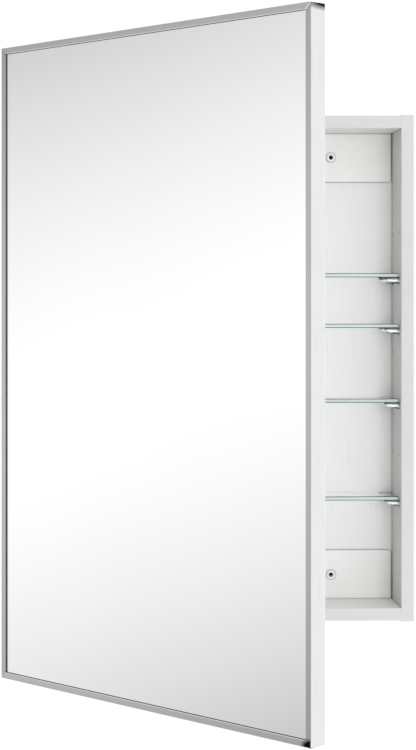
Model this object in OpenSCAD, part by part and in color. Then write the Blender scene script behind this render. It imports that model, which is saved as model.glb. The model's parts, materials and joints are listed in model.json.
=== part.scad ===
// Wall-hung medicine cabinet with a framed mirror door on a continuous hinge.
//
// Millimetres. X runs to the right, Y runs back to the wall and Z runs up.
// The origin is the middle of the four wall screws, on the wall plane, so the
// cabinet stands out towards -Y. The door is drawn closed and then swung open
// about the hinge pin.

/* [Body] */
// Width over the two side panels
body_width = 486; // [400:1:700]
// Height of the side panels
body_height = 622; // [518:1:900]
// Depth from the wall to the front edges
body_depth = 89; // [74:1:160]
// Thickness of the side, top and bottom panels
panel = 15; // [12.5:0.5:18]
// How far the top and bottom panels stop short of the side panels' ends
rail_inset = 1.2; // [0:0.1:3]
// Thickness of the back panel
back_thick = 3; // [2:0.5:4]
// Depth of the grooves that hold the back panel
groove_depth = 4; // [3:0.5:6]
// Thickness of the two hanging rails behind the back panel
hanging_rail_thick = 8; // [6:0.5:12]

/* [Wall fixing] */
// Height of each mounting plate
plate_height = 61.6; // [50:0.1:75]
// Thickness of each mounting plate
plate_thick = 2; // [1:0.5:3]
// Gap between a mounting plate's end and the side panel
plate_end_gap = 2; // [1:0.5:4]
// Corner radius of the mounting plates
plate_corner = 4; // [2:0.5:8]
// Sideways distance between the wall screws
wall_hole_spread = 300; // [240:1:360]
// Diameter of each wall screw hole
wall_hole_d = 5.8; // [5:0.1:7]

/* [Shelves] */
// Height of the first support row above and below the middle
row_1 = 46.2; // [38:0.1:56]
// Height of the second support row above and below the middle
row_2 = 108.6; // [90:0.1:131]
// Height of the third support row above and below the middle
row_3 = 166.8; // [150:0.1:172]
// Glass thickness of the shelves
shelf_thick = 5; // [4:0.5:6]
// Depth of each glass shelf, front to back
shelf_depth = 62; // [50:1:63]
// How far the shelves stand back from the front edges
shelf_setback = 12; // [10:1:14]
// Gap between a shelf's end and the side panel
shelf_end_gap = 1.5; // [0.5:0.5:3]
// Distance from a shelf's front edge to its front support holes
front_support_inset = 10; // [8:0.5:14]
// Distance from a shelf's back edge to its rear support holes
rear_support_inset = 7; // [6.5:0.5:12]
// Diameter of the support pins
support_pin_d = 5; // [4:0.5:6]
// Depth of the support holes
support_hole_depth = 10; // [8:0.5:11]
// How far a support reaches in under the glass
support_reach = 19; // [15:0.5:24]

/* [Door] */
// How far the door runs past the body at the free side
free_overhang = 22; // [10:1:35]
// How far the door runs past the body at the top
top_overhang = 77.25; // [20:0.25:100]
// How far the door runs past the body at the bottom
bottom_overhang = 62.75; // [20:0.25:100]
// Depth of the door frame, front to back
frame_depth = 22; // [20:0.5:28]
// Width of the frame's front face
frame_face = 7.4; // [6:0.1:10]
// Thickness of the frame's front lip
front_lip = 2.2; // [1.5:0.1:3]
// Thickness of the frame's outer wall
frame_wall = 1.6; // [1.2:0.1:2]
// Width of the frame's rear lip
rear_lip_width = 9; // [8:0.5:12]
// Thickness of the frame's rear lip
rear_lip = 1.6; // [1.2:0.1:2]
// Thickness of the mirror glass
mirror_thick = 4; // [3:0.5:5]
// Thickness of the adhesive strips behind the mirror
tape_thick = 0.8; // [0.5:0.1:1.2]
// Thickness of the white sheet that closes the door's back
back_sheet_thick = 2.4; // [1.5:0.1:3]
// Width of the hollow that the corner keys fill
key_slot = 5; // [4:0.5:6]
// Length of each leg of a corner key
key_leg = 45; // [30:1:60]

/* [Hinge] */
// Angle that the door stands open
open_angle = 48.8; // [0:0.1:110]
// Gap between the closed door and the body
door_gap = 3; // [3:0.25:5]
// Distance from the body's side to the pin's centre line
pin_offset = 3; // [3:0.25:5]
// Diameter of the hinge pin
hinge_pin_d = 3; // [2:0.1:3]
// Outside diameter of the knuckles
knuckle_d = 5.2; // [4.8:0.1:5.4]
// Thickness of the hinge leaves
leaf_thick = 1; // [0.8:0.1:1.2]
// Reach of each leaf from the pin's centre line
leaf_reach = 15; // [13:0.5:17]
// Aimed length of one knuckle
knuckle_pitch = 25; // [20:1:40]
// Distance from the hinge's ends to the body's ends
hinge_end_gap = 11; // [5:1:40]

/* [Catch] */
// Distance from the free side's inner wall to the middle of the catch
catch_from_side = 140; // [60:1:200]
// Width of the catch housing
catch_width = 46; // [40:1:60]
// Depth of the catch housing
catch_depth = 18; // [15:0.5:25]
// Height of the catch housing
catch_height = 12; // [10:0.5:15]

/* [Hidden] */
$fn = 48;
eps = 0.01;

// Clearances
slot_clear = 0.1;
hole_clear = 0.1;
pin_clear = 0.05;
knuckle_gap = 0.4;
glass_clear = 0.5;
key_clear = 0.3;
contact_gap = 0.3;

// Body
half_width = body_width / 2;
half_height = body_height / 2;
front_y = -body_depth;
inner_half_width = half_width - panel;
rail_half_height = half_height - rail_inset;
inner_half_height = rail_half_height - panel;
back_y = -hanging_rail_thick - back_thick;
plate_y = back_y - plate_thick;
groove_fit = groove_depth - 0.2;
panel_screw_r = 2.5;
panel_screw_head_r = 4.5;
panel_screw_head = 3;
panel_screw_length = 45;
panel_screw_inset = 20;

// Wall fixing
wall_hole_z = inner_half_height - plate_height / 2;
bush_r = 4;
bush_flange_r = 5;
bush_flange = 1.6;
washer_r = 6.25;
washer_thick = 0.8;

// Shelves: the support rows stand in two mirrored groups, and the glass lies
// on rows two, three, four and six from the top
rows = [row_3, row_2, row_1, -row_1, -row_2, -row_3];
shelf_rows = [1, 2, 3, 5];
support_drop = support_pin_d / 2 + 0.5;
support_r = 8.5;
support_flange = 1.2;
support_half_width = 6;
support_pin_reach = 8;
shelf_front_y = front_y + shelf_setback;
shelf_back_y = shelf_front_y + shelf_depth;
support_ys = [shelf_front_y + front_support_inset, shelf_back_y - rear_support_inset];
shelf_half_width = inner_half_width - shelf_end_gap;
shelf_corner = 2;

// Hinge line
hinge_x = -half_width - pin_offset;
hinge_y = front_y - door_gap / 2;
knuckle_r = knuckle_d / 2;
hinge_pin_r = hinge_pin_d / 2;
knuckle_bore_r = hinge_pin_r + pin_clear;
hinge_length = body_height - 2 * hinge_end_gap;
knuckle_count = floor(hinge_length / knuckle_pitch);
knuckle_length = hinge_length / knuckle_count;
leaf_face = door_gap / 2;
pin_head = 1;
hinge_screw_spacing = 100;
hinge_screw_count = round(hinge_length / hinge_screw_spacing);
hinge_screw_r = 1.4;
hinge_screw_head_r = 2.4;
body_screw_length = 16;
door_screw_length = 8;
body_screw_x = pin_offset + panel / 2;
door_screw_x = pin_offset + frame_wall + key_slot / 2;

// Closed door
door_left = -half_width;
door_right = half_width + free_overhang;
door_top = half_height + top_overhang;
door_bottom = -half_height - bottom_overhang;
door_width = door_right - door_left;
door_height = door_top - door_bottom;
door_x = (door_left + door_right) / 2;
door_z = (door_top + door_bottom) / 2;
door_back_y = front_y - door_gap;
door_front_y = door_back_y - frame_depth;
frame_arris = 0.9;
mirror_y = door_front_y + front_lip;
tape_y = mirror_y + mirror_thick;
core_y = tape_y + tape_thick;
sheet_back_y = door_back_y - rear_lip;
sheet_y = sheet_back_y - back_sheet_thick;
mirror_edge = frame_wall + glass_clear;
core_edge = frame_wall + key_slot;
tape_width = 30;
tape_end = 40;

// Catch and door stops
catch_x = inner_half_width - catch_from_side;
catch_front_y = front_y + 1;
catch_z = inner_half_height - catch_height / 2;
magnet_size = [22, 14, 5];
pole_thick = 1.2;
pole_proud = 1.4;
magnet_y = catch_front_y + 1;
pole_front_y = catch_front_y - pole_proud;
catch_screw_x = catch_width / 2 - 5;
catch_screw_r = 1.6;
catch_screw_head_r = 3;
catch_screw_head = 1.5;
catch_screw_length = catch_height + panel - 3;
strike_size = [36, 14];
strike_face_y = pole_front_y - contact_gap;
strike_screw_x = 12;
strike_screw_length = 9;
bumper_r = 5;
bumper_x = half_width - panel / 2;
bumper_z = half_height - 25;
bumper_face_y = front_y - contact_gap;

// A block between two corners
module block(low, high) {
    translate(low) cube(high - low);
}

// A cylinder along +X from x = 0
module rod_x(r, length) {
    rotate([0, 90, 0]) cylinder(r = r, h = length);
}

// A cylinder along +Y from y = 0
module rod_y(r, length) {
    rotate([-90, 0, 0]) cylinder(r = r, h = length);
}

// A countersunk screw along +Z, with its head's face at z = 0
module countersunk(r, head_r, head, length) {
    cylinder(r1 = head_r, r2 = r, h = head);
    cylinder(r = r, h = length);
}

// The hole for a countersunk screw, open below z = 0
module countersunk_hole(r, head_r, head, length) {
    translate([0, 0, -1]) cylinder(r = head_r + hole_clear, h = 1 + eps);
    countersunk(r + hole_clear, head_r + hole_clear, head, length + hole_clear);
}

// Moves a closed-door shape to where the open door has it
module swing() {
    translate([hinge_x, hinge_y, 0]) rotate([0, 0, -open_angle])
        translate([-hinge_x, -hinge_y, 0]) children();
}

// Places a screw or its hole at the four screws of one side panel, head outwards
module at_panel_screws(side) {
    for (z = [-1, 1], y = [front_y + panel_screw_inset, -panel_screw_inset])
        translate([side * half_width, y, z * (rail_half_height - panel / 2)])
            rotate([0, -side * 90, 0]) children();
}

// Places a shape at the four wall screws, along +Y
module at_wall_screws() {
    for (x = [-1, 1], z = [-1, 1])
        translate([x * wall_hole_spread / 2, 0, z * wall_hole_z]) children();
}

// The holes that the wall screws' bushes pass through
module bush_holes() {
    at_wall_screws() rotate([90, 0, 0])
        cylinder(r = bush_r + hole_clear, h = body_depth, center = true);
}

// Spots along the hinge for its screws
function hinge_screw_z(i) = -hinge_length / 2 + hinge_length * (i + 0.5) / hinge_screw_count;

module at_body_hinge_screws() {
    for (i = [0 : hinge_screw_count - 1])
        translate([hinge_x + body_screw_x, front_y - leaf_thick, hinge_screw_z(i)])
            rotate([-90, 0, 0]) children();
}

module at_door_hinge_screws() {
    for (i = [0 : hinge_screw_count - 1])
        translate([hinge_x + door_screw_x, door_back_y + leaf_thick, hinge_screw_z(i)])
            rotate([90, 0, 0]) children();
}

// One side panel; side is -1 for the left and 1 for the right
module side_panel(side) {
    inner_x = side * inner_half_width;
    difference() {
        translate([side * (half_width - panel / 2), front_y / 2, 0])
            cube([panel, body_depth, body_height], center = true);
        translate([inner_x, back_y + back_thick / 2, 0])
            cube([2 * groove_depth, back_thick + 2 * slot_clear, 2 * (inner_half_height + groove_depth)],
                center = true);
        for (z = rows, y = support_ys)
            translate([inner_x - side * eps, y, z]) rotate([0, side * 90, 0])
                cylinder(d = support_pin_d + 2 * hole_clear, h = support_hole_depth);
        at_panel_screws(side)
            countersunk_hole(panel_screw_r, panel_screw_head_r, panel_screw_head, panel_screw_length);
        if (side < 0)
            at_body_hinge_screws()
                cylinder(r = hinge_screw_r + hole_clear, h = body_screw_length + 1);
    }
}

module side_panel_left() {
    color("gainsboro") side_panel(-1);
}

module side_panel_right() {
    color("gainsboro") side_panel(1);
}

// The top or bottom panel; end is 1 for the top and -1 for the bottom
module end_panel(end) {
    difference() {
        translate([0, front_y / 2, end * (rail_half_height - panel / 2)])
            cube([2 * inner_half_width, body_depth, panel], center = true);
        translate([0, back_y + back_thick / 2, end * inner_half_height])
            cube([body_width, back_thick + 2 * slot_clear, 2 * groove_depth], center = true);
        for (side = [-1, 1])
            at_panel_screws(side) cylinder(r = panel_screw_r + hole_clear, h = panel_screw_length + 1);
    }
}

module top_panel() {
    color("gainsboro") difference() {
        end_panel(1);
        at_catch_screws() cylinder(r = catch_screw_r + hole_clear, h = catch_screw_length + 1);
    }
}

module bottom_panel() {
    color("gainsboro") end_panel(-1);
}

module back_panel() {
    color("whitesmoke") difference() {
        block([-inner_half_width - groove_fit, back_y, -inner_half_height - groove_fit],
            [inner_half_width + groove_fit, back_y + back_thick, inner_half_height + groove_fit]);
        bush_holes();
    }
}

// A hanging rail; end is 1 for the upper and -1 for the lower
module hanging_rail(end) {
    color("burlywood") difference() {
        translate([0, -hanging_rail_thick / 2, end * wall_hole_z])
            cube([2 * inner_half_width, hanging_rail_thick, plate_height], center = true);
        bush_holes();
    }
}

module hanging_rail_upper() {
    hanging_rail(1);
}

module hanging_rail_lower() {
    hanging_rail(-1);
}

// Outline of the upper mounting plate, with its lower corners rounded
module plate_outline() {
    half = inner_half_width - plate_end_gap;
    low = inner_half_height - plate_height;
    translate([-half, low + plate_corner]) square([2 * half, plate_height - plate_corner]);
    translate([-half + plate_corner, low]) square([2 * (half - plate_corner), plate_height]);
    for (side = [-1, 1])
        translate([side * (half - plate_corner), low + plate_corner]) circle(r = plate_corner);
}

module mount_plate_upper() {
    color("white") difference() {
        translate([0, back_y, 0]) rotate([90, 0, 0])
            linear_extrude(height = plate_thick) plate_outline();
        bush_holes();
    }
}

module mount_plate_lower() {
    mirror([0, 0, 1]) mount_plate_upper();
}

module wall_hole_washers() {
    color("silver") at_wall_screws() translate([0, plate_y - washer_thick, 0]) difference() {
        rod_y(washer_r, washer_thick);
        translate([0, -1, 0]) rod_y(bush_r + hole_clear, washer_thick + 2);
    }
}

// Each bush lines the way through plate, back panel and hanging rail
module wall_hole_bushes() {
    flange_y = plate_y - washer_thick;
    edge = 0.5;
    color("white") at_wall_screws() rotate([90, 0, 0]) rotate_extrude() polygon([
        [wall_hole_d / 2, 0], [bush_r, 0], [bush_r, -flange_y], [bush_flange_r, -flange_y],
        [bush_flange_r, -flange_y + bush_flange - edge], [bush_flange_r - edge, -flange_y + bush_flange],
        [wall_hole_d / 2, -flange_y + bush_flange]]);
}

module panel_screws() {
    color("silver") for (side = [-1, 1])
        at_panel_screws(side)
            countersunk(panel_screw_r, panel_screw_head_r, panel_screw_head, panel_screw_length);
}

// A bullet-shaped support drawn for the left wall, with its seat for the glass
// at z = 0 and its wall flange at x = 0
module shelf_support() {
    nose = support_reach - support_flange;
    intersection() {
        union() {
            rod_x(support_r, support_flange);
            translate([support_flange, 0, 0]) rotate([0, 90, 0]) rotate_extrude()
                polygon(concat([[0, 0]], [for (a = [0 : 6 : 90])
                    [(support_r - 0.8) * cos(a), nose * sin(a)]]));
        }
        block([-1, -support_half_width, -support_r - 1], [support_reach + 1, support_half_width, 0]);
    }
    translate([-support_pin_reach, 0, -support_drop]) rod_x(support_pin_d / 2, support_pin_reach + 1);
}

module shelf_supports(shelf) {
    color("silver") for (y = support_ys, side = [0, 1])
        mirror([side, 0, 0])
            translate([-inner_half_width, y, rows[shelf_rows[shelf - 1]] + support_drop]) shelf_support();
}

module shelf_supports_1() {
    shelf_supports(1);
}

module shelf_supports_2() {
    shelf_supports(2);
}

module shelf_supports_3() {
    shelf_supports(3);
}

module shelf_supports_4() {
    shelf_supports(4);
}

// A glass shelf that lies on its four supports
module shelf(number) {
    width = 2 * shelf_half_width;
    color("paleturquoise", 0.6)
        translate([0, (shelf_front_y + shelf_back_y) / 2, rows[shelf_rows[number - 1]] + support_drop])
            linear_extrude(height = shelf_thick) union() {
                square([width, shelf_depth - 2 * shelf_corner], center = true);
                square([width - 2 * shelf_corner, shelf_depth], center = true);
                for (x = [-1, 1], y = [-1, 1])
                    translate([x * (width / 2 - shelf_corner), y * (shelf_depth / 2 - shelf_corner)])
                        circle(r = shelf_corner);
            }
}

module shelf_1() {
    shelf(1);
}

module shelf_2() {
    shelf(2);
}

module shelf_3() {
    shelf(3);
}

module shelf_4() {
    shelf(4);
}

// Places a shape at the catch's two screws, along +Z
module at_catch_screws() {
    for (side = [-1, 1])
        translate([catch_x + side * catch_screw_x, catch_front_y + catch_depth / 2,
            inner_half_height - catch_height]) children();
}

module catch_housing() {
    pocket = [magnet_size[0] + 2 * slot_clear, magnet_y - catch_front_y + magnet_size[1] + slot_clear,
        magnet_size[2] + 2 * pole_thick + 2 * slot_clear];
    color("white") difference() {
        translate([catch_x - catch_width / 2, catch_front_y, inner_half_height - catch_height])
            cube([catch_width, catch_depth, catch_height]);
        translate([catch_x - pocket[0] / 2, catch_front_y - eps, catch_z - pocket[2] / 2]) cube(pocket);
        at_catch_screws()
            countersunk_hole(catch_screw_r, catch_screw_head_r, catch_screw_head, catch_height + 1);
    }
}

module catch_magnet() {
    color("dimgray") translate([catch_x, magnet_y + magnet_size[1] / 2, catch_z])
        cube(magnet_size, center = true);
}

// The magnet lies between the two pole plates, which stand out to the strike
module catch_pole_plates() {
    length = magnet_y + magnet_size[1] - pole_front_y;
    color("silver") for (side = [-1, 1])
        translate([catch_x, pole_front_y + length / 2,
            catch_z + side * (magnet_size[2] + pole_thick) / 2])
            cube([magnet_size[0], length, pole_thick], center = true);
}

module catch_screws() {
    color("silver") at_catch_screws()
        countersunk(catch_screw_r, catch_screw_head_r, catch_screw_head, catch_screw_length);
}

// A hinge leaf along the pin, on the +Y side of it, with every other knuckle
module hinge_leaf(first) {
    plate_x = knuckle_r + knuckle_gap;
    difference() {
        union() {
            block([plate_x, leaf_face - leaf_thick, -hinge_length / 2],
                [leaf_reach, leaf_face, hinge_length / 2]);
            for (i = [first : 2 : knuckle_count - 1]) {
                low = -hinge_length / 2 + i * knuckle_length + knuckle_gap / 2;
                high = low + knuckle_length - knuckle_gap;
                translate([0, 0, low]) cylinder(r = knuckle_r, h = high - low);
                block([0, leaf_face - leaf_thick, low], [plate_x + eps, leaf_face, high]);
            }
        }
        cylinder(r = knuckle_bore_r, h = hinge_length + 2, center = true);
    }
}

module hinge_leaf_body() {
    color("silver") difference() {
        translate([hinge_x, hinge_y, 0]) hinge_leaf(0);
        at_body_hinge_screws()
            countersunk_hole(hinge_screw_r, hinge_screw_head_r, leaf_thick - slot_clear, leaf_thick + 1);
    }
}

module hinge_leaf_door() {
    color("silver") swing() difference() {
        translate([hinge_x, hinge_y, 0]) mirror([0, 1, 0]) hinge_leaf(1);
        at_door_hinge_screws()
            countersunk_hole(hinge_screw_r, hinge_screw_head_r, leaf_thick - slot_clear, leaf_thick + 1);
    }
}

module hinge_pin() {
    color("gray") translate([hinge_x, hinge_y, 0]) {
        cylinder(r = hinge_pin_r, h = hinge_length, center = true);
        for (side = [-1, 1])
            translate([0, 0, side * (hinge_length + pin_head) / 2])
                cylinder(r = knuckle_r - 0.3, h = pin_head, center = true);
    }
}

module hinge_screws_body() {
    color("silver") at_body_hinge_screws()
        countersunk(hinge_screw_r, hinge_screw_head_r, leaf_thick - slot_clear, body_screw_length);
}

module hinge_screws_door() {
    color("silver") swing() at_door_hinge_screws()
        countersunk(hinge_screw_r, hinge_screw_head_r, leaf_thick - slot_clear, door_screw_length);
}

// Section of the door frame: x runs in from the outer face, y runs back from the front
module frame_section() {
    translate([frame_arris, 0]) square([frame_face - frame_arris, front_lip]);
    translate([0, frame_arris]) square([frame_wall, frame_depth - frame_arris]);
    translate([frame_arris, frame_arris]) circle(r = frame_arris);
    translate([0, frame_arris]) square([frame_face, front_lip - frame_arris]);
    translate([0, frame_depth - rear_lip]) square([rear_lip_width, rear_lip]);
}

// A frame member along Z with mitred ends and its outer face on x = 0
module frame_member(length) {
    outer = length / 2;
    inner = outer - rear_lip_width;
    intersection() {
        linear_extrude(height = length, center = true) frame_section();
        translate([0, frame_depth + 1, 0]) rotate([90, 0, 0]) linear_extrude(height = frame_depth + 2)
            polygon([[0, -outer], [0, outer], [rear_lip_width, inner], [rear_lip_width, -inner]]);
    }
}

module frame_left() {
    color("silver") swing() difference() {
        translate([door_left, door_front_y, door_z]) frame_member(door_height);
        at_door_hinge_screws() cylinder(r = hinge_screw_r + hole_clear, h = leaf_thick + rear_lip + 1);
    }
}

module frame_right() {
    color("silver") swing()
        translate([door_right, door_front_y, door_z]) rotate([0, 180, 0]) frame_member(door_height);
}

module frame_top() {
    color("silver") swing()
        translate([door_x, door_front_y, door_top]) rotate([0, 90, 0]) frame_member(door_width);
}

module frame_bottom() {
    color("silver") swing()
        translate([door_x, door_front_y, door_bottom]) rotate([0, -90, 0]) frame_member(door_width);
}

// An angle in the hollow of the frame at each corner
module corner_keys() {
    low = frame_wall + key_clear;
    high = core_edge - key_clear;
    front = core_y + key_clear;
    back = door_back_y - rear_lip - key_clear;
    color("darkgray") swing() for (x = [0, 1], z = [0, 1])
        translate([x == 0 ? door_left : door_right, back, z == 0 ? door_bottom : door_top])
            mirror([x, 0, 0]) mirror([0, 0, z]) rotate([90, 0, 0])
                linear_extrude(height = back - front) union() {
                    translate([low, low]) square([high - low, key_leg]);
                    translate([low, low]) square([key_leg, high - low]);
                }
}

// A layer of the door that ends a given distance inside the door's outline
module door_layer(edge, y_low, y_high) {
    block([door_left + edge, y_low, door_bottom + edge], [door_right - edge, y_high, door_top - edge]);
}

module mirror_glass() {
    color("aliceblue") swing() door_layer(mirror_edge, mirror_y, tape_y);
}

module mirror_tape() {
    color("gray") swing() for (i = [-1 : 1])
        translate([door_x + i * door_width / 3, (tape_y + core_y) / 2, door_z])
            cube([tape_width, tape_thick, door_height - 2 * tape_end], center = true);
}

module at_strike_screws() {
    for (side = [-1, 1])
        translate([catch_x + side * strike_screw_x, strike_face_y, catch_z])
            rotate([90, 0, 0]) children();
}

module door_core() {
    color("tan") swing() difference() {
        door_layer(core_edge, core_y, sheet_y);
        at_strike_screws() cylinder(r = catch_screw_r + hole_clear, h = strike_screw_length + 1);
    }
}

module door_back_sheet() {
    color("white") swing() difference() {
        door_layer(core_edge, sheet_y, sheet_back_y);
        at_strike_screws() cylinder(r = catch_screw_r + hole_clear, h = strike_screw_length + 1);
    }
}

module strike_plate() {
    color("silver") swing() difference() {
        block([catch_x - strike_size[0] / 2, sheet_back_y, catch_z - strike_size[1] / 2],
            [catch_x + strike_size[0] / 2, strike_face_y, catch_z + strike_size[1] / 2]);
        at_strike_screws()
            countersunk_hole(catch_screw_r, catch_screw_head_r, catch_screw_head, strike_screw_length);
    }
}

module strike_screws() {
    color("silver") swing() at_strike_screws()
        countersunk(catch_screw_r, catch_screw_head_r, catch_screw_head, strike_screw_length);
}

// Two soft stops that meet the free side panel's front edge
module door_bumpers() {
    height = bumper_face_y - sheet_back_y;
    tip = 1.2;
    color("whitesmoke") swing() for (side = [-1, 1])
        translate([bumper_x, sheet_back_y, side * bumper_z]) {
            rod_y(bumper_r, height - tip);
            translate([0, height - tip, 0]) rotate([-90, 0, 0])
                cylinder(r1 = bumper_r, r2 = bumper_r - tip, h = tip);
        }
}

side_panel_left();
side_panel_right();
top_panel();
bottom_panel();
back_panel();
hanging_rail_upper();
hanging_rail_lower();
mount_plate_upper();
mount_plate_lower();
wall_hole_washers();
wall_hole_bushes();
panel_screws();
shelf_supports_1();
shelf_supports_2();
shelf_supports_3();
shelf_supports_4();
catch_housing();
catch_magnet();
catch_pole_plates();
catch_screws();
hinge_leaf_body();
hinge_pin();
hinge_screws_body();
frame_left();
frame_right();
frame_top();
frame_bottom();
corner_keys();
mirror_glass();
mirror_tape();
door_core();
door_back_sheet();
hinge_leaf_door();
hinge_screws_door();
strike_plate();
strike_screws();
door_bumpers();
shelf_1();
shelf_2();
shelf_3();
shelf_4();
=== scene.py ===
"""Looks for the wall-hung medicine cabinet with a framed mirror door."""
import json
import math

import bmesh
import bpy
import numpy as np
from mathutils import Matrix, Vector


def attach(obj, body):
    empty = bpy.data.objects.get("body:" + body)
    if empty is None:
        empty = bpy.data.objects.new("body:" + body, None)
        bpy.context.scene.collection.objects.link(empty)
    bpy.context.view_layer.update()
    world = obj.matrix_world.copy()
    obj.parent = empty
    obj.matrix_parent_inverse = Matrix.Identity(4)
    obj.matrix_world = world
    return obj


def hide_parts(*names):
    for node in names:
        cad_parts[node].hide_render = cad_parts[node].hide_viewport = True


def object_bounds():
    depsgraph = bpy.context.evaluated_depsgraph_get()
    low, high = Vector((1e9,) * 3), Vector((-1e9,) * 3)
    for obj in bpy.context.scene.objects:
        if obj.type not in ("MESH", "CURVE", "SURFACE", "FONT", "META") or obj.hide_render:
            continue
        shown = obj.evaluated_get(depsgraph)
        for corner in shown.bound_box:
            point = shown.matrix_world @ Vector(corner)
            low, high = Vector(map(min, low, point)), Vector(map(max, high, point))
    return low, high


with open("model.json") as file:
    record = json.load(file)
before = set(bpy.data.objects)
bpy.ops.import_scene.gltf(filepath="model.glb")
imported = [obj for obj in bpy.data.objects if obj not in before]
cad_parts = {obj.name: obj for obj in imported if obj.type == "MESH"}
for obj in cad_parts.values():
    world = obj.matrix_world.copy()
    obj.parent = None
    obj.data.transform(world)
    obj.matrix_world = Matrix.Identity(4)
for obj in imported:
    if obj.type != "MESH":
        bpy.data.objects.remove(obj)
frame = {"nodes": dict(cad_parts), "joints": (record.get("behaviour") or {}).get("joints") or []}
cad_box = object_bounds()
nodes = frame["nodes"]

MM = 0.001
SHELVES = (1, 2, 3, 4)

# The door stands open by the travel that its joint has back to closed
door_joint = next(joint for joint in frame["joints"] if joint["name"] == "door_swing")
door_turn = math.radians(door_joint["range_deg"][0])
DOOR = Matrix.Rotation(door_turn, 3, "Z")
DOOR_OUT = DOOR @ Vector((0, -1, 0))

# How far a face's normal goes along an axis that it faces, squarely or roughly
SQUARELY = 0.9
ROUGHLY = 0.5


# Shader nodes

def add_node(tree, kind, **settings):
    made = tree.nodes.new(kind)
    for key, value in settings.items():
        setattr(made, key, value)
    return made


def arithmetic(tree, value, operation, operand=None):
    """One step of arithmetic on a value."""
    step = add_node(tree, "ShaderNodeMath", operation=operation)
    tree.links.new(value, step.inputs[0])
    if operand is not None:
        step.inputs[1].default_value = operand
    return step.outputs["Value"]


def stretch(tree, value, source, target, interpolation="LINEAR"):
    """Maps a value from the source range to the target range, and no further."""
    spread = add_node(tree, "ShaderNodeMapRange", interpolation_type=interpolation)
    for key, bound in zip(("From Min", "From Max", "To Min", "To Max"), (*source, *target)):
        spread.inputs[key].default_value = bound
    tree.links.new(value, spread.inputs["Value"])
    return spread.outputs["Result"]


def grey_ramp(tree, value, greys):
    """Colours a value by (position, grey) stops, the first at 0 and the last at 1."""
    ramp = tree.nodes.new("ShaderNodeValToRGB")
    stops = ramp.color_ramp.elements
    for position, grey in greys[1:-1]:
        stops.new(position)
    for stop, (position, grey) in zip(stops, greys):
        stop.color = (grey, grey, grey, 1.0)
    tree.links.new(value, ramp.inputs["Fac"])
    return ramp.outputs["Color"]


def height(tree, space):
    """The Z of a texture space."""
    place = tree.nodes.new("ShaderNodeTexCoord")
    parts = tree.nodes.new("ShaderNodeSeparateXYZ")
    tree.links.new(place.outputs[space], parts.inputs["Vector"])
    return parts.outputs["Z"]


# Materials

TINT_NOISE = (0.32, 0.68)
GLOSS_NOISE = (0.3, 0.7)
CREASE_SAMPLES = 6
CREASE_OPENNESS = (0.12, 0.92)
CREASE_REACH = 2.5 * MM
CREASE_SHADE = (0.12, 0.12, 0.115)
PAINTED_REFLECTION_BLACK = (0.004, 0.004, 0.004)
GLASS_IOR = 1.52


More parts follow.
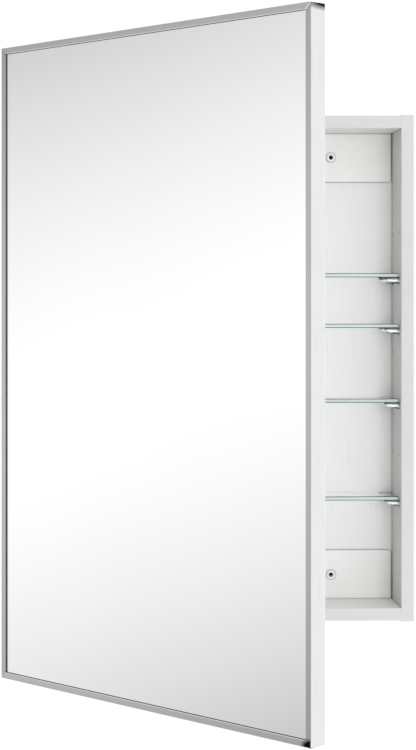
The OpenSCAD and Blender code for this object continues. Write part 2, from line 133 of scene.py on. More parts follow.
class Finish:
    """A Principled material whose detail comes from noise in the row frame's metres."""

    def __init__(self, name, colour, roughness, metallic=0.0, turn=0.0):
        self.material = bpy.data.materials.new(name)
        self.material.use_nodes = True
        self.tree = self.material.node_tree
        self.shader = self.tree.nodes["Principled BSDF"]
        self.base = self.shader.inputs["Base Color"]
        self.turn = turn
        self.set("Base Color", (*colour, 1.0))
        self.set("Roughness", roughness)
        self.set("Metallic", metallic)

    def set(self, socket, value):
        self.shader.inputs[socket].default_value = value

    def link(self, source, target):
        self.tree.links.new(source, target)

    def placed(self, size, middle=(0, 0, 0)):
        """A place on the piece, measured from middle in units of an (x, y, z) size in metres."""
        place = add_node(self.tree, "ShaderNodeTexCoord")
        mapping = add_node(self.tree, "ShaderNodeMapping", vector_type="TEXTURE")
        mapping.inputs["Location"].default_value = middle
        mapping.inputs["Rotation"].default_value = (0, 0, self.turn)
        mapping.inputs["Scale"].default_value = size
        self.link(place.outputs["Object"], mapping.inputs["Vector"])
        return mapping.outputs["Vector"]

    def grain(self, size, detail=3.0, rough=0.55):
        """Noise with one grain of the given (x, y, z) size in metres."""
        noise = add_node(self.tree, "ShaderNodeTexNoise")
        noise.inputs["Scale"].default_value = 1.0
        noise.inputs["Detail"].default_value = detail
        noise.inputs["Roughness"].default_value = rough
        self.link(self.placed(size), noise.inputs["Vector"])
        return noise.outputs["Fac"]

    def even_grain(self, size, detail=3.0):
        return self.grain((size, size, size), detail)

    def tint(self, factor, low, high):
        ramp = add_node(self.tree, "ShaderNodeValToRGB")
        for stop, position, colour in zip(ramp.color_ramp.elements, TINT_NOISE, (low, high)):
            stop.position = position
            stop.color = (*colour, 1.0)
        self.link(factor, ramp.inputs["Fac"])
        self.link(ramp.outputs["Color"], self.base)

    def shade(self, factor, colour):
        """Mixes the tint towards another colour as the factor goes from 0 to 1."""
        mix = add_node(self.tree, "ShaderNodeMix", data_type="RGBA")
        mix.inputs["B"].default_value = (*colour, 1.0)
        self.link(self.base.links[0].from_socket, mix.inputs["A"])
        self.link(factor, mix.inputs["Factor"])
        self.link(mix.outputs["Result"], self.base)

    def paint_crease_shade(self, reach):
        """Paints shade into corners and slots tighter than reach, where shadow falls: painted shade.
        """
        openness = add_node(self.tree, "ShaderNodeAmbientOcclusion", samples=CREASE_SAMPLES)
        openness.inputs["Distance"].default_value = reach
        tightness = stretch(self.tree, openness.outputs["AO"], CREASE_OPENNESS, (1.0, 0.0))
        self.shade(tightness, CREASE_SHADE)

    def painted_reflection(self, middle, reach, core):
        """Paints a black oval spot, a painted dark reflection: its middle, its (x, y, z) reach and its
        fully dark share.
        """
        distance = add_node(self.tree, "ShaderNodeVectorMath", operation="LENGTH")
        self.link(self.placed(reach, middle), distance.inputs[0])
        fade = stretch(self.tree, distance.outputs["Value"], (core, 1.0), (1.0, 0.0))
        self.shade(fade, PAINTED_REFLECTION_BLACK)

    def gloss(self, factor, low, high):
        rough = stretch(self.tree, factor, GLOSS_NOISE, (low, high))
        self.link(rough, self.shader.inputs["Roughness"])

    def relief(self, factor, depth):
        bump = add_node(self.tree, "ShaderNodeBump")
        bump.inputs["Strength"].default_value = 1.0
        bump.inputs["Distance"].default_value = depth
        self.link(factor, bump.inputs["Height"])
        self.link(bump.outputs["Normal"], self.shader.inputs["Normal"])


def around(colour, spread):
    """The colour made darker and lighter by a share of itself."""
    return [tuple(min(1.0, part * share) for part in colour) for share in (1 - spread, 1 + spread)]


def laminate(name, colour, long_axis):
    """Silver-white board with a fine brushed grain along one axis."""
    size = [1.1 * MM] * 3
    size[long_axis] = 70 * MM
    finish = Finish(name, colour, 0.42)
    streaks = finish.grain(size, detail=5.0, rough=0.7)
    finish.tint(streaks, *around(colour, spread=0.04))
    # Painted shade in the board's corners and slots
    finish.paint_crease_shade(CREASE_REACH)
    finish.gloss(streaks, low=0.36, high=0.5)
    finish.relief(streaks, depth=0.02 * MM)
    return finish.material


def painted(name, colour, roughness, turn=0.0):
    """Stoved paint with a faint orange peel."""
    finish = Finish(name, colour, roughness, turn=turn)
    finish.tint(finish.even_grain(40 * MM), *around(colour, spread=0.015))
    # Painted shade in the corners and slots
    finish.paint_crease_shade(CREASE_REACH)
    finish.gloss(finish.even_grain(6 * MM), roughness - 0.05, roughness + 0.06)
    finish.relief(finish.even_grain(1.4 * MM), depth=0.012 * MM)
    return finish.material


def board(name, colour):
    """Raw fibreboard with speckled fibres."""
    finish = Finish(name, colour, 0.8)
    fibres = finish.grain((1.2 * MM, 1.2 * MM, 3 * MM), detail=6.0, rough=0.75)
    finish.tint(fibres, *around(colour, spread=0.22))
    finish.gloss(fibres, low=0.7, high=0.9)
    finish.relief(fibres, depth=0.08 * MM)
    return finish.material


def metal(name, colour, roughness, size, turn=0.0, reach=0.0, painted_reflection=None):
    """Metal with drawn or polished lines of a (x, y, z) size and a low and high roughness."""
    finish = Finish(name, colour, roughness[0], metallic=1.0, turn=turn)
    lines = finish.grain(size, detail=4.0, rough=0.6)
    finish.tint(lines, *around(colour, spread=0.05))
    # Painted shade in corners and slots within reach
    if reach:
        finish.paint_crease_shade(reach)
    # A painted black reflection spot
    if painted_reflection:
        finish.painted_reflection(*painted_reflection)
    finish.gloss(lines, *roughness)
    finish.relief(lines, depth=0.004 * MM)
    return finish.material


# Painted reflection of a shelf support by its height: dark below, a painted highlight in the middle
# and dull at the top
SUPPORT_PAINTED_REFLECTION = ((0.0, 0.03), (0.29, 0.05), (0.39, 1.0), (0.7, 1.0), (0.8, 0.4), (1.0, 0.12))
SUPPORT_WANDER = 0.16


def support_chrome():
    """Plated bullets with painted bands of reflection and highlight, which wander a little."""
    finish = Finish("support_chrome", (0.9, 0.9, 0.9), 0.1, metallic=1.0)
    pits = finish.even_grain(2 * MM, detail=4.0)
    wander = add_node(finish.tree, "ShaderNodeMath", operation="MULTIPLY_ADD")
    wander.inputs[1].default_value = SUPPORT_WANDER
    finish.link(pits, wander.inputs[0])
    finish.link(height(finish.tree, "Generated"), wander.inputs[2])
    finish.link(grey_ramp(finish.tree, wander.outputs["Value"], SUPPORT_PAINTED_REFLECTION), finish.base)
    finish.gloss(pits, low=0.06, high=0.18)
    finish.relief(pits, depth=0.003 * MM)
    return finish.material


def plastic(name, colour, roughness, spread=0.02):
    """Moulded plastic, foam or sealant with a fine skin."""
    finish = Finish(name, colour, roughness)
    finish.tint(finish.even_grain(9 * MM), *around(colour, spread))
    finish.gloss(finish.even_grain(2 * MM), roughness - 0.06, roughness + 0.08)
    finish.relief(finish.even_grain(0.5 * MM, detail=5.0), depth=0.01 * MM)
    return finish.material


def silvering(name, colour):
    """The mirror's silver, all but flawless."""
    finish = Finish(name, colour, 0.0, metallic=1.0)
    finish.tint(finish.even_grain(300 * MM, detail=1.0), *around(colour, spread=0.006))
    finish.gloss(finish.even_grain(120 * MM, detail=2.0), low=0.0, high=0.025)
    return finish.material


def glass(name, colour, transmission, roughness):
    """Clear or tinted glass with a low and high roughness."""
    finish = Finish(name, colour, roughness[0])
    finish.set("IOR", GLASS_IOR)
    finish.set("Transmission Weight", transmission)
    finish.tint(finish.grain((50 * MM, 50 * MM, 5 * MM)), *around(colour, spread=0.02))
    finish.gloss(finish.even_grain(30 * MM), *roughness)
    return finish.material


# Boards, with the axis that their grain runs along
UPRIGHT, ACROSS = 2, 0
EDGE_BAND = (0.63, 0.63, 0.622)
# The side boards are the same laminate as the top and bottom, painted darker as painted shade
shaded_laminate_upright = laminate("shaded_laminate_upright", (0.555, 0.56, 0.53), UPRIGHT)
laminate_across = laminate("laminate_across", (0.83, 0.832, 0.813), ACROSS)
band_upright = laminate("band_upright", EDGE_BAND, UPRIGHT)
band_across = laminate("band_across", EDGE_BAND, ACROSS)
band_seam = painted("band_seam", (0.17, 0.17, 0.165), 0.5)
back_laminate = laminate("back_board", (0.85, 0.851, 0.849), UPRIGHT)
rail_board = board("rail_board", (0.62, 0.55, 0.44))
core_board = board("core_board", (0.6, 0.5, 0.36))

# Fittings
EVEN_LINES = (1.5 * MM, 1.5 * MM, 1.5 * MM)
PIN_LINES = (0.5 * MM, 0.5 * MM, 24 * MM)
KEY_LINES = (0.8 * MM, 0.8 * MM, 20 * MM)
CUT_LINES = (1 * MM, 1 * MM, 1 * MM)
plate_paint = painted("plate_paint", (0.885, 0.887, 0.876), 0.36)
# Raw steel on the plates' cut edges and the washers' rims, darker also as painted shade for the shadow
# lines along them
plate_cut_and_shade = metal("plate_cut_and_shade", (0.3, 0.3, 0.3), (0.4, 0.6), CUT_LINES)
plated_steel = metal("plated_steel", (0.66, 0.67, 0.68), (0.2, 0.36), EVEN_LINES)
# Near-white washers, with painted shade round their rims
washer_steel = metal("washer_steel", (0.97, 0.975, 0.975), (0.12, 0.25), EVEN_LINES, reach=0.8 * MM)
hinge_steel = metal("hinge_steel", (0.6, 0.61, 0.62), (0.24, 0.42), PIN_LINES)
key_metal = metal("key_metal", (0.55, 0.55, 0.56), (0.35, 0.55), KEY_LINES)
chrome = support_chrome()
ferrite = plastic("magnet", (0.07, 0.07, 0.075), 0.6, spread=0.2)
nylon = plastic("white_nylon", (0.93, 0.93, 0.92), 0.42)
silicone = plastic("bumper", (0.8, 0.81, 0.81), 0.3)

# Mirror, the rest of the door, and shelves
silver = silvering("mirror", (0.948, 0.952, 0.951))
mirror_edge = glass("mirror_edge", (0.45, 0.62, 0.56), 0.2, (0.15, 0.3))
mirror_backing = painted("mirror_backing", (0.33, 0.35, 0.37), 0.5, turn=door_turn)
sheet_paint = painted("back_sheet", (0.78, 0.785, 0.79), 0.4, turn=door_turn)
tape = plastic("foam_tape", (0.2, 0.2, 0.21), 0.85, spread=0.08)
# Black sealant, also standing for the shadow line between mirror and frame as painted shade
sealant_and_shade = plastic("mirror_seal", (0.03, 0.03, 0.031), 0.45, spread=0.2)
shelf_face = glass("shelf_glass", (0.95, 0.985, 0.975), 1.0, (0.0, 0.015))
shelf_edge = glass("shelf_edge", (0.6, 0.69, 0.66), 0.25, (0.12, 0.25))
# Near-black arris lines on the shelves' edges, painted shade for the dark lines the glass edges show
shelf_arris_shade = glass("shelf_arris_shade", (0.05, 0.075, 0.068), 0.0, (0.3, 0.45))


# The door's polished frame, with black reflections painted at two of its corners

SAME_LEVEL = 0.1 * MM


def outer_span(node):
    """Lowest and highest corner, in the closed door's axes, of a node's foremost faces."""
    mesh = nodes[node].data
    turned = [DOOR.inverted() @ mesh.vertices[i].co for polygon in mesh.polygons
              if polygon.normal.dot(DOOR_OUT) > SQUARELY for i in polygon.vertices]
    foremost = min(point.y for point in turned)
    level = [point for point in turned if point.y < foremost + SAME_LEVEL]
    return [Vector([pick(point[axis] for point in level) for axis in range(3)])
            for pick in (min, max)]


FRAME_DEPTH = 22 * MM
FRAME = (0.485, 0.49, 0.495)
# The top and bottom lips are the same metal as the uprights, painted lighter as painted light
FRAME_ACROSS_LIT = (0.54, 0.545, 0.55)
# The lips' outer arris is painted near white, a painted highlight
ARRIS_HIGHLIGHT = (0.97, 0.97, 0.97)
LIP_ROUGH = (0.24, 0.36)
WALL_ROUGH = (0.05, 0.12)
ARRIS_ROUGH = (0.1, 0.2)
ALONG_UPRIGHT = (0.6 * MM, 0.6 * MM, 60 * MM)
ALONG_ACROSS = (60 * MM, 0.6 * MM, 0.6 * MM)
ALONG_ARRIS = (0.6 * MM, 0.6 * MM, 0.6 * MM)

lowest, highest = outer_span("frame_right")
low_right = DOOR @ Vector((highest.x, lowest.y, lowest.z))
top_right = DOOR @ Vector((highest.x, lowest.y + FRAME_DEPTH, highest.z))
# Painted dark reflections: an oval round the frame's low right corner and one at the top of the right
# member's wall
LOW_PAINTED_REFLECTION = (low_right, (15 * MM, 6 * MM, 10.5 * MM), 0.55)
TOP_PAINTED_REFLECTION = (top_right, (6 * MM, 40 * MM, 8 * MM), 0.3)


def frame_metal(name, colour, roughness, size, painted_reflection=None):
    return metal(name, colour, roughness, size, turn=door_turn, painted_reflection=painted_reflection)


lip_upright = frame_metal("lip_upright", FRAME, LIP_ROUGH, ALONG_UPRIGHT)
lip_across = frame_metal("lip_across", FRAME_ACROSS_LIT, LIP_ROUGH, ALONG_ACROSS)
right_lip = frame_metal("right_lip", FRAME, LIP_ROUGH, ALONG_UPRIGHT, LOW_PAINTED_REFLECTION)
bottom_lip = frame_metal("bottom_lip", FRAME_ACROSS_LIT, LIP_ROUGH, ALONG_ACROSS, LOW_PAINTED_REFLECTION)
wall_upright = frame_metal("wall_upright", FRAME, WALL_ROUGH, ALONG_UPRIGHT)
wall_across = frame_metal("wall_across", FRAME, WALL_ROUGH, ALONG_ACROSS)
right_wall = frame_metal("right_wall", FRAME, WALL_ROUGH, ALONG_UPRIGHT, TOP_PAINTED_REFLECTION)
lip_arris_highlight = frame_metal("lip_arris_highlight", ARRIS_HIGHLIGHT, ARRIS_ROUGH, ALONG_ARRIS, LOW_PAINTED_REFLECTION)


# CAD nodes

WELD_DISTANCE = 0.001 * MM
FLAT_ANGLE = math.radians(0.3)
EDGE_ANGLE = math.radians(32)
EDGE_STEPS = 2
FACE_WEIGHT = 60
NO_SLOT = -1


def sharpen(node, width, arris_slot):
    """Rounds a CAD node's sharp edges a little and shades it smoothly."""
    mesh = nodes[node].data
    if "custom_normal" in mesh.attributes:
        mesh.attributes.remove(mesh.attributes["custom_normal"])
    mesh.polygons.foreach_set("use_smooth", [True] * len(mesh.polygons))
    weld = nodes[node].modifiers.new("weld", "WELD")
    weld.merge_threshold = WELD_DISTANCE
    flat = nodes[node].modifiers.new("flat", "DECIMATE")
    flat.decimate_type = "DISSOLVE"
    flat.angle_limit = FLAT_ANGLE
    flat.delimit = {"MATERIAL"}
    bevel = nodes[node].modifiers.new("bevel", "BEVEL")
    bevel.width = width
    bevel.segments = EDGE_STEPS
    bevel.limit_method = "ANGLE"
    bevel.angle_limit = EDGE_ANGLE
    bevel.material = arris_slot
    normals = nodes[node].modifiers.new("normals", "WEIGHTED_NORMAL")
    normals.weight = FACE_WEIGHT


def dress(node, materials, edge, pick=None, arris_slot=NO_SLOT):
    """Gives a CAD node its materials; pick chooses the material index of a face."""
    mesh = nodes[node].data
    mesh.materials.clear()
    for material in materials:
        mesh.materials.append(material)
    for polygon in mesh.polygons:
        polygon.material_index = pick(polygon) if pick else 0
    sharpen(node, edge, arris_slot)


def mirror_face(polygon):
    facing = polygon.normal.dot(DOOR_OUT)
    return 0 if facing > ROUGHLY else 2 if facing < -ROUGHLY else 1


def shelf_face_or_edge(polygon):
    return 0 if abs(polygon.normal.z) > ROUGHLY else 1


def front_edge(polygon):
    return 1 if polygon.normal.y < -ROUGHLY else 0


def frame_lip(polygon):
    return 1 if polygon.normal.dot(DOOR_OUT) > SQUARELY else 0


def plate_rim(polygon):
    return 0 if abs(polygon.normal.y) > ROUGHLY else 1


for side in ("left", "right"):
    side_looks = [shaded_laminate_upright, band_upright, band_seam]
    dress("side_panel_" + side, side_looks, 0.65 * MM, front_edge, arris_slot=2)
for end in ("top", "bottom"):
    end_looks = [laminate_across, band_across, band_seam]
    dress(end + "_panel", end_looks, 0.65 * MM, front_edge, arris_slot=2)
for level in ("upper", "lower"):
    dress("hanging_rail_" + level, [rail_board], 0.4 * MM)
    dress("mount_plate_" + level, [plate_paint, plate_cut_and_shade], 0.3 * MM, plate_rim)
dress("back_panel", [back_laminate], 0.2 * MM)
dress("wall_hole_washers", [washer_steel, plate_cut_and_shade], 0.4 * MM, plate_rim, arris_slot=1)
dress("wall_hole_bushes", [nylon], 0.15 * MM)
for number in SHELVES:
    shelf = f"shelf_{number}"
    dress(f"shelf_supports_{number}", [chrome], 0.2 * MM)
    dress(shelf, [shelf_face, shelf_edge, shelf_arris_shade], 0.85 * MM, shelf_face_or_edge, arris_slot=2)
    # Clear glass hardly shades or tints what is round it
    nodes[shelf].visible_shadow = False
    nodes[shelf].visible_diffuse = False
dress("catch_housing", [nylon], 0.4 * MM)
dress("catch_magnet", [ferrite], 0.2 * MM)
dress("catch_pole_plates", [plated_steel], 0.15 * MM)
dress("strike_plate", [plated_steel], 0.3 * MM)
for group in ("panel_screws", "catch_screws", "strike_screws"):
    dress(group, [plated_steel], 0.15 * MM)
for leaf in ("body", "door"):
    dress("hinge_leaf_" + leaf, [hinge_steel], 0.08 * MM)
    dress("hinge_screws_" + leaf, [plated_steel], 0.1 * MM)
dress("hinge_pin", [hinge_steel], 0.15 * MM)
for member, lip, wall in (("left", lip_upright, wall_upright), ("right", right_lip, right_wall),
                          ("top", lip_across, wall_across), ("bottom", bottom_lip, wall_across)):
    dress("frame_" + member, [wall, lip, lip_arris_highlight], 0.45 * MM, frame_lip, arris_slot=2)
dress("corner_keys", [key_metal], 0.2 * MM)
dress("mirror_glass", [silver, mirror_edge, mirror_backing], 0.3 * MM, mirror_face)
dress("mirror_tape", [tape], 0.1 * MM)
dress("door_core", [core_board], 0.2 * MM)
dress("door_back_sheet", [sheet_paint], 0.2 * MM)
dress("door_bumpers", [silicone], 0.3 * MM)


# Finer meshes in place of the plain CAD screws and bumpers

SHARP = math.radians(30)
SAME_RADIUS = 0.01 * MM


def add_piece(name, shape, material, body, replaced=None):
    """Turns a bmesh into a piece that rides on a body."""
    bmesh.ops.recalc_face_normals(shape, faces=shape.faces)
    mesh = bpy.data.meshes.new(name)
    shape.to_mesh(mesh)
    shape.free()
    mesh.materials.append(material)
    mesh.polygons.foreach_set("use_smooth", [True] * len(mesh.polygons))
    mesh.set_sharp_from_angle(angle=SHARP)
    piece = bpy.data.objects.new(name, mesh)
    bpy.context.scene.collection.objects.link(piece)
    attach(piece, body)
    if replaced:
        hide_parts(replaced)


def solids(node):
    """The corner points of each separate solid in a node."""
    shape = bmesh.new()
    shape.from_mesh(nodes[node].data)
    bmesh.ops.remove_doubles(shape, verts=shape.verts, dist=WELD_DISTANCE)
    left = set(shape.verts)
    found = []
    while left:
        front = [left.pop()]
        points = []
        while front:
            vertex = front.pop()
            points.append(vertex.co.copy())
            fresh = {edge.other_vert(vertex) for edge in vertex.link_edges} & left
            left -= fresh
            front.extend(fresh)
        found.append(points)
    shape.free()
    return sorted(found, key=lambda points: tuple(round(c, 5) for c in sum(points, Vector())))


class Turned:
    """A round solid's axis, which starts at the wide end's face, and its radii."""

    def __init__(self, points):
        middle = sum(points, Vector()) / len(points)
        offsets = np.array([point - middle for point in points])
        values, vectors = np.linalg.eigh(offsets.T @ offsets)
        odd_one = 2 if values[1] - values[0] < values[2] - values[1] else 0
        axis = Vector(vectors[:, odd_one]).normalized()
        along = [(point - middle).dot(axis) for point in points]
        away = [(point - middle - axis * t).length for point, t in zip(points, along)]
        self.wide = max(away)
        self.narrow = min(away)
        if along[away.index(self.wide)] > 0:
            axis = -axis
            along = [-t for t in along]
        self.length = max(along) - min(along)
        slim = [t for t, radius in zip(along, away) if radius < self.narrow + SAME_RADIUS]
        self.head = min(slim) - min(along)
        turn = axis.to_track_quat("Z", "Y").to_matrix().to_4x4()
        self.place = Matrix.Translation(middle + axis * min(along)) @ turn


def ring(shape, radius, z, count):
    """A level ring of points, whose radius may be a function of the angle."""
    made = []
    for i in range(count):
        angle = math.tau * i / count
        reach = radius(angle) if callable(radius) else radius
        made.append(shape.verts.new((reach * math.cos(angle), reach * math.sin(angle), z)))
    return made


def bridge(shape, below, above):
    """Quads between two closed loops of as many points."""
    for i, vertex in enumerate(below):
        after = (i + 1) % len(below)
        shape.faces.new((vertex, below[after], above[after], above[i]))


def skin(shape, loops):
    """Bridges each loop to the next."""
    for below, above in zip(loops, loops[1:]):
        bridge(shape, below, above)


def cross(shape, arm, half_width, z):
    """The twelve points of a cross, for a driver's recess."""
    made = []
    for quarter in range(4):
        turn = Matrix.Rotation(math.radians(90 * quarter), 3, "Z")
        for x, y in ((half_width, -half_width), (arm, -half_width), (arm, half_width)):
            made.append(shape.verts.new(turn @ Vector((x, y, z))))
    return made


def into_mesh(shape, name):
    mesh = bpy.data.meshes.new(name)
    shape.to_mesh(mesh)
    shape.free()
    return mesh


# A screw's thread, its radii as shares of the shank's and its point in shank radii
SCREW_SIDES = 24
THREAD_STEPS = 7
THREAD_CORE = 0.74
THREAD_EDGE = 0.99
THREAD_CREST = 0.3
POINT_LENGTH = 3
POINT_RADIUS = 0.12

# A screw's head, in shares of its own radius, and how much deeper than the head its recess goes
HEAD_FACE = 0.95
HEAD_RIM = 0.99
HEAD_RIM_DEPTH = 0.05
MOUTH_ARM, MOUTH_HALF_WIDTH = 0.56, 0.11
FOOT_ARM, FOOT_HALF_WIDTH = 0.28, 0.08
RECESS_DEPTH = 1.05


def thread_ring(shape, screw, z):
    """One ring of a thread that winds once in a shank's radius and tapers to the point."""
    to_end = (screw.length - z) / (POINT_LENGTH * screw.narrow)
    taper = min(1.0, POINT_RADIUS + (1 - POINT_RADIUS) * to_end)

    def reach(angle):
        phase = (z / screw.narrow - angle / math.tau) % 1.0
        crest = max(0.0, 1 - abs(phase - 0.5) / THREAD_CREST)
        return screw.narrow * taper * (THREAD_CORE + (THREAD_EDGE - THREAD_CORE) * crest)

    return ring(shape, reach, z, SCREW_SIDES)


def loop_edges(shape, loop):
    return [shape.edges.get(pair) for pair in zip(loop, loop[1:] + loop[:1])]


def screw_mesh(screw):
    """A countersunk cross-head wood screw, its face at z = 0 and its point along +Z."""
    shape = bmesh.new()
    wide, pitch = screw.wide, screw.narrow
    rim = ring(shape, wide * HEAD_FACE, 0, SCREW_SIDES)
    rings = [rim, ring(shape, wide * HEAD_RIM, wide * HEAD_RIM_DEPTH, SCREW_SIDES),
             ring(shape, screw.narrow, screw.head, SCREW_SIDES)]
    start = screw.head + pitch
    steps = int((screw.length - start) / pitch * THREAD_STEPS)
    for step in range(steps + 1):
        z = start + (screw.length - start) * step / steps
        rings.append(thread_ring(shape, screw, z))
    skin(shape, rings)
    shape.faces.new(rings[-1])
    mouth = cross(shape, wide * MOUTH_ARM, wide * MOUTH_HALF_WIDTH, 0)
    foot = cross(shape, wide * FOOT_ARM, wide * FOOT_HALF_WIDTH, screw.head * RECESS_DEPTH)
    bridge(shape, mouth, foot)
    shape.faces.new(foot)
    edges = loop_edges(shape, rim) + loop_edges(shape, mouth)
    bmesh.ops.triangle_fill(shape, use_beauty=True, edges=edges)
    return into_mesh(shape, "screw")


DOME_STEPS = 9
DOME_SIDES = 32
DOME_ANGLE = math.radians(84)
DOME_BULGE = 0.55


def dome_mesh(stop):
    """A soft clear stop: a flat foot that rounds over to its face."""
    shape = bmesh.new()
    rings = []
    for step in range(DOME_STEPS):
        angle = DOME_ANGLE * step / (DOME_STEPS - 1)
        radius = stop.wide * math.cos(angle) ** DOME_BULGE
        rise = stop.length * math.sin(angle) / math.sin(DOME_ANGLE)
        rings.append(ring(shape, radius, rise, DOME_SIDES))
    skin(shape, rings)
    shape.faces.new(rings[0])
    shape.faces.new(rings[-1])
    return into_mesh(shape, "dome")


def remade(node, name, build, material, body):
    """Replaces each round solid of a node by a finer mesh at the same place and size."""
    shape = bmesh.new()
    turned = [Turned(points) for points in solids(node)]
    unit = build(turned[0])
    for one in turned:
        copy = unit.copy()
        copy.transform(one.place)
        shape.from_mesh(copy)
    add_piece(name, shape, material, body, node)


for body, groups in (("cabinet", ("panel_screws", "catch_screws", "hinge_screws_body")),
                     ("door", ("strike_screws", "hinge_screws_door"))):
    for group in groups:
        remade(group, "cross_head_" + group, screw_mesh, plated_steel, body)
remade("door_bumpers", "bumper_domes", dome_mesh, silicone, "door")


# Bead of black sealant between the mirror and its frame, which also stands for the shadow line there
# as painted shade

SEAL_WIDTH = 0.65 * MM
SEAL_DEPTH = 1.3 * MM
SEAL_STEPS = 5
SEAL_HOLLOW = 1.4


def mirror_seal():
    """A thin hollow-faced bead in the corner between the mirror and the frame, all round."""
    left = outer_span("frame_left")[1].x
    right = outer_span("frame_right")[0].x
    low = outer_span("frame_bottom")[1].z
    high = outer_span("frame_top")[0].z
    face = outer_span("mirror_glass")[0].y
    shape = bmesh.new()

    def loop(inward, outward):
        corners = ((left + inward, low + inward), (right - inward, low + inward),
                   (right - inward, high - inward), (left + inward, high - inward))
        return [shape.verts.new(DOOR @ Vector((x, face - outward, z))) for x, z in corners]

    loops = []
    for step in range(SEAL_STEPS):
        angle = math.radians(90) * step / (SEAL_STEPS - 1)
        loops.append(loop(SEAL_WIDTH * math.cos(angle) ** SEAL_HOLLOW,
                          SEAL_DEPTH * math.sin(angle) ** SEAL_HOLLOW))
    loops.append(loop(0, 0))
    skin(shape, loops + loops[:1])
    add_piece("mirror_seal", shape, sealant_and_shade, "door")


mirror_seal()


# Stage

def staged(name, mesh, material):
    """Puts a mesh in the scene that isn't part of the object."""
    mesh.materials.append(material)
    made = bpy.data.objects.new(name, mesh)
    bpy.context.scene.collection.objects.link(made)
    return made


def panel(name, corners, material):
    """A flat stage panel with four corners."""
    mesh = bpy.data.meshes.new(name)
    mesh.from_pydata([Vector(corner) for corner in corners], [], [(0, 1, 2, 3)])
    return staged(name, mesh, material)


def emission(name, radiance):
    """A material that only gives light."""
    material = bpy.data.materials.new(name)
    material.use_nodes = True
    tree = material.node_tree
    tree.nodes.remove(tree.nodes["Principled BSDF"])
    shader = tree.nodes.new("ShaderNodeEmission")
    shader.inputs["Strength"].default_value = radiance
    output = tree.nodes["Material Output"]
    tree.links.new(shader.outputs["Emission"], output.inputs["Surface"])
    return material


FLOOR_Z = -1.5
FLOOR_HALF = 30.0
floor_paint = painted("floor_white", (0.95, 0.95, 0.95), 0.9)
floor = panel("floor", [(-FLOOR_HALF, -FLOOR_HALF, FLOOR_Z), (FLOOR_HALF, -FLOOR_HALF, FLOOR_Z),
                        (FLOOR_HALF, FLOOR_HALF, FLOOR_Z), (-FLOOR_HALF, FLOOR_HALF, FLOOR_Z)],
              floor_paint)
floor.visible_glossy = False


# Cards and a dome that only reflections see

def reflections_only(stand):
    """It shows in gloss and doesn't light the object, hide the view or cast a shadow."""
    for ray in ("camera", "diffuse", "transmission", "shadow"):
        setattr(stand, "visible_" + ray, False)


CARD_MARGIN = 0.8
CARD_AXES = (1, 2)
GRADE_SLANT = (0, 0.364, 1.0)
GRADE_MIDDLE = -0.118
GRADE_EVEN = 0.112
GRADE_CURVE = 1.42
GRADE_FALL = 0.62
GRADE_BRIGHTEST = 1.06
GRADE_DIMMEST = 0.5


def graded_card_material():
    """White across the middle and greyer towards the top and bottom, along a slant."""
    material = emission("card_grade", radiance=1.0)
    tree = material.node_tree
    place = tree.nodes.new("ShaderNodeTexCoord")
    slant = add_node(tree, "ShaderNodeVectorMath", operation="DOT_PRODUCT")
    slant.inputs[1].default_value = GRADE_SLANT
    tree.links.new(place.outputs["Object"], slant.inputs[0])
    value = slant.outputs["Value"]
    for operation, operand in (("ADD", -GRADE_MIDDLE), ("ABSOLUTE", None),
                               ("SUBTRACT", GRADE_EVEN), ("MAXIMUM", 0.0),
                               ("POWER", GRADE_CURVE), ("MULTIPLY", -GRADE_FALL),
                               ("ADD", GRADE_BRIGHTEST), ("MAXIMUM", GRADE_DIMMEST)):
        value = arithmetic(tree, value, operation, operand)
    tree.links.new(value, tree.nodes["Emission"].inputs["Strength"])
    return material


def fade_edges(stand):
    """Lets a card's outer margin in Y and Z melt into what is behind it."""
    tree = stand.data.materials[0].node_tree
    corners = [vertex.co for vertex in stand.data.vertices]
    place = tree.nodes.new("ShaderNodeTexCoord")
    parts = tree.nodes.new("ShaderNodeSeparateXYZ")
    tree.links.new(place.outputs["Object"], parts.inputs["Vector"])
    both = add_node(tree, "ShaderNodeMath", operation="MULTIPLY")
    for factor, axis in zip(both.inputs, CARD_AXES):
        low = min(corner[axis] for corner in corners)
        high = max(corner[axis] for corner in corners)
        half = (high - low) / 2
        away = arithmetic(tree, parts.outputs[axis], "SUBTRACT", (low + high) / 2)
        share = stretch(tree, arithmetic(tree, away, "ABSOLUTE"), (half - CARD_MARGIN, half),
                        (1.0, 0.0), "SMOOTHSTEP")
        tree.links.new(share, factor)
    clear = tree.nodes.new("ShaderNodeBsdfTransparent")
    mix = tree.nodes.new("ShaderNodeMixShader")
    tree.links.new(both.outputs["Value"], mix.inputs["Fac"])
    tree.links.new(clear.outputs["BSDF"], mix.inputs[1])
    tree.links.new(tree.nodes["Emission"].outputs["Emission"], mix.inputs[2])
    tree.links.new(mix.outputs["Shader"], tree.nodes["Material Output"].inputs["Surface"])


def card(name, x, reach_y, reach_z, material):
    """An upright card beside the object, between two places in Y and two in Z."""
    corners = [(x, reach_y[0], reach_z[0]), (x, reach_y[1], reach_z[0]),
               (x, reach_y[1], reach_z[1]), (x, reach_y[0], reach_z[1])]
    made = panel(name, corners, material)
    fade_edges(made)
    reflections_only(made)


card("left_card", x=-2.2, reach_y=(-1.9, 1.7), reach_z=(-2.0, 2.0), material=graded_card_material())
card("right_card", x=1.7, reach_y=(1.7, -2.1), reach_z=(-2.2, 1.7),
     material=emission("card_right", radiance=1.7))

# What polished metal reflects by height: a white table, a greyer room round it, bright overhead
SKY_GREYS = ((0.0, 1.6), (0.11, 1.6), (0.16, 0.8), (0.34, 0.7), (0.41, 0.95), (0.75, 0.95), (1.0, 1.0))
SKY_RADIUS = 25.0
SKY_SUBDIVISIONS = 4


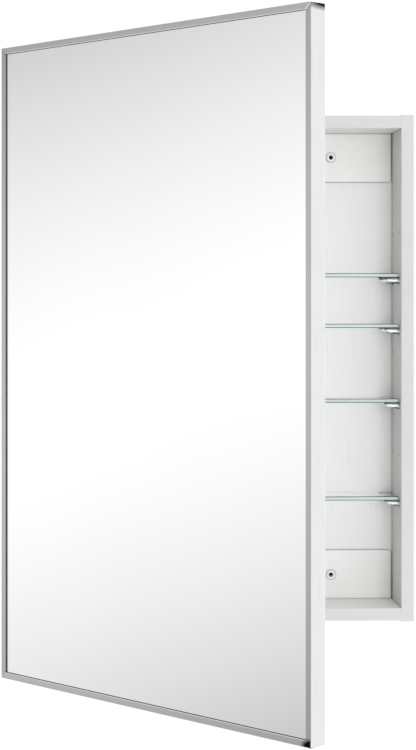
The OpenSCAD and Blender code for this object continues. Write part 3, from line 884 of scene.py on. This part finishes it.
def sky():
    """A dome round everything."""
    material = emission("sky_grade", radiance=1.0)
    tree = material.node_tree
    colour = grey_ramp(tree, height(tree, "Generated"), SKY_GREYS)
    tree.links.new(colour, tree.nodes["Emission"].inputs["Color"])
    shape = bmesh.new()
    bmesh.ops.create_icosphere(shape, subdivisions=SKY_SUBDIVISIONS, radius=SKY_RADIUS)
    reflections_only(staged("sky", into_mesh(shape, "sky"), material))


sky()


# Dark wall behind the screw holes, which light doesn't reach

HOLE_COVER = 3.4 * MM
WALL_GAP = 0.5 * MM
SPOT_SIDES = 32


def wall_spot(number, points):
    """A dark disc just behind a bush, which covers its hole."""
    middle = sum(points, Vector()) / len(points)
    shape = bmesh.new()
    bmesh.ops.create_circle(shape, cap_ends=True, segments=SPOT_SIDES, radius=HOLE_COVER)
    turn = Matrix.Rotation(math.radians(90), 4, "X")
    wall_y = cad_box[1][1] + WALL_GAP
    shape.transform(Matrix.Translation((middle.x, wall_y, middle.z)) @ turn)
    staged(f"wall_spot_{number}", into_mesh(shape, "wall_spot"), emission("wall_dark", radiance=0.0))


for number, points in enumerate(solids("wall_hole_bushes")):
    wall_spot(number, points)


# Light: one large soft key in front and an even white room

KEY_PLACE = (0.58, -3.0, 0.1)
KEY_AIM = (0, 0, 0)
KEY_WIDTH = 0.8
KEY_HEIGHT = 0.9
KEY_POWER = 16
ROOM_STRENGTH = 1.02

key_data = bpy.data.lights.new("key", "AREA")
key_data.shape = "RECTANGLE"
key_data.size = KEY_WIDTH
key_data.size_y = KEY_HEIGHT
key_data.energy = KEY_POWER
key = bpy.data.objects.new("key", key_data)
key.location = KEY_PLACE
key.rotation_euler = (Vector(KEY_AIM) - Vector(KEY_PLACE)).to_track_quat("-Z", "Y").to_euler()
key.visible_glossy = False
bpy.context.scene.collection.objects.link(key)

world = bpy.data.worlds.new("studio")
world.use_nodes = True
background = world.node_tree.nodes["Background"]
background.inputs["Color"].default_value = (1, 1, 1, 1)
background.inputs["Strength"].default_value = ROOM_STRENGTH
bpy.context.scene.world = world
bpy.context.scene.view_settings.view_transform = "Standard"


# Camera: level, nearly square to the wall, its window shifted to the right and down

SENSOR = 36.0
LENS = 92.984
SHIFT_X = 0.07
SHIFT_Y = -0.1003
CAMERA_PLACE = (-0.1391, -2.4591, 0.0839)
CAMERA_YAW = math.radians(-1.566)

camera_data = bpy.data.cameras.new("camera")
camera_data.sensor_width = SENSOR
camera_data.lens = LENS
camera_data.shift_x = SHIFT_X
camera_data.shift_y = SHIFT_Y
camera = bpy.data.objects.new("camera", camera_data)
camera.location = CAMERA_PLACE
camera.rotation_euler = (math.radians(90), 0, CAMERA_YAW)
bpy.context.scene.collection.objects.link(camera)
bpy.context.scene.camera = camera
